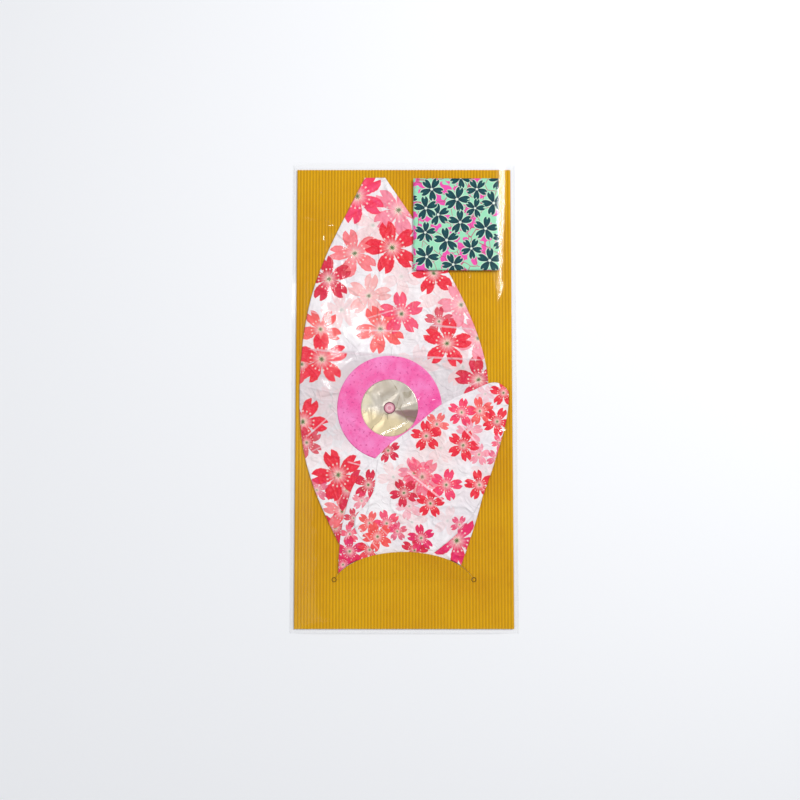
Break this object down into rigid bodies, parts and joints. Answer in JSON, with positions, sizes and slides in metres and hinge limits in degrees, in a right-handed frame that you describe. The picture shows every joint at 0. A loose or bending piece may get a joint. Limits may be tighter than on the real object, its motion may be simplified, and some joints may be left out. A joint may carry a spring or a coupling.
{
  "type": "paper carp streamer",
  "caption": "Flat-folded paper carp streamer with a mirror eye, tucked under the cut tongue of a ribbed card and packed in a clear open-topped sleeve.",
  "frame": {"origin": "middle of the sleeve's underside, on the table", "axes": "+Y from the bottom of the card to the sleeve's open mouth, +Z out of the front, +X to the right seen from the front"},
  "size_m": [0.173, 0.362, 0.0064],
  "materials": {
    "ribbed_card": "matt, fluted",
    "printed_washi": "matt, blossom print",
    "pink_paper": "matt, fibrous",
    "foil": "mirror, crinkled",
    "pupil_print": "satin",
    "leaflet_paper": "satin, printed",
    "clear_film": "clear, glossy"
  },
  "bodies": {
    "card": {"card_liner": "ribbed_card", "card_flutes": "ribbed_card"},
    "tongue": {"tongue_liner": "ribbed_card", "tongue_flutes": "ribbed_card"},
    "streamer": {"body_front_panel": "printed_washi", "body_back_panel": "printed_washi", "left_seam_flap": "printed_washi", "right_seam_flap": "printed_washi", "tail_under_panel": "printed_washi", "tail_top_panel": "printed_washi", "inner_fold": "printed_washi", "outer_fold": "printed_washi", "front_iris_ring": "pink_paper", "back_iris_ring": "pink_paper", "front_mirror_disc": "foil", "back_mirror_disc": "foil", "front_pupil_spot": "pupil_print", "back_pupil_spot": "pupil_print"},
    "leaflet": {"leaflet_back_leaf": "leaflet_paper", "leaflet_front_leaf": "leaflet_paper", "leaflet_spine": "leaflet_paper"},
    "sleeve": {"sleeve_back_film": "clear_film", "sleeve_front_film": "clear_film", "sleeve_left_side": "clear_film", "sleeve_right_side": "clear_film", "sleeve_base": "clear_film", "left_side_seal": "clear_film", "right_side_seal": "clear_film"}
  },
  "joints": [
    {"name": "sleeve_slide", "type": "slide", "parent": "card", "child": "sleeve", "axis": [0, -1, 0], "range_m": [0, 0.365]},
    {"name": "tongue_hinge", "type": "hinge", "parent": "card", "child": "tongue", "pos_m": [0, -0.1408, 0.00055], "axis": [1, 0, 0], "range_deg": [0, 2.5], "stiffness_Nm_per_rad": 0.02},
    {"name": "streamer_slide", "type": "slide", "parent": "card", "child": "streamer", "axis": [0, 1, 0], "range_m": [0, 0.32]},
    {"name": "leaflet_slide", "type": "slide", "parent": "card", "child": "leaflet", "axis": [0, 1, 0], "range_m": [0, 0.09]}
  ]
}
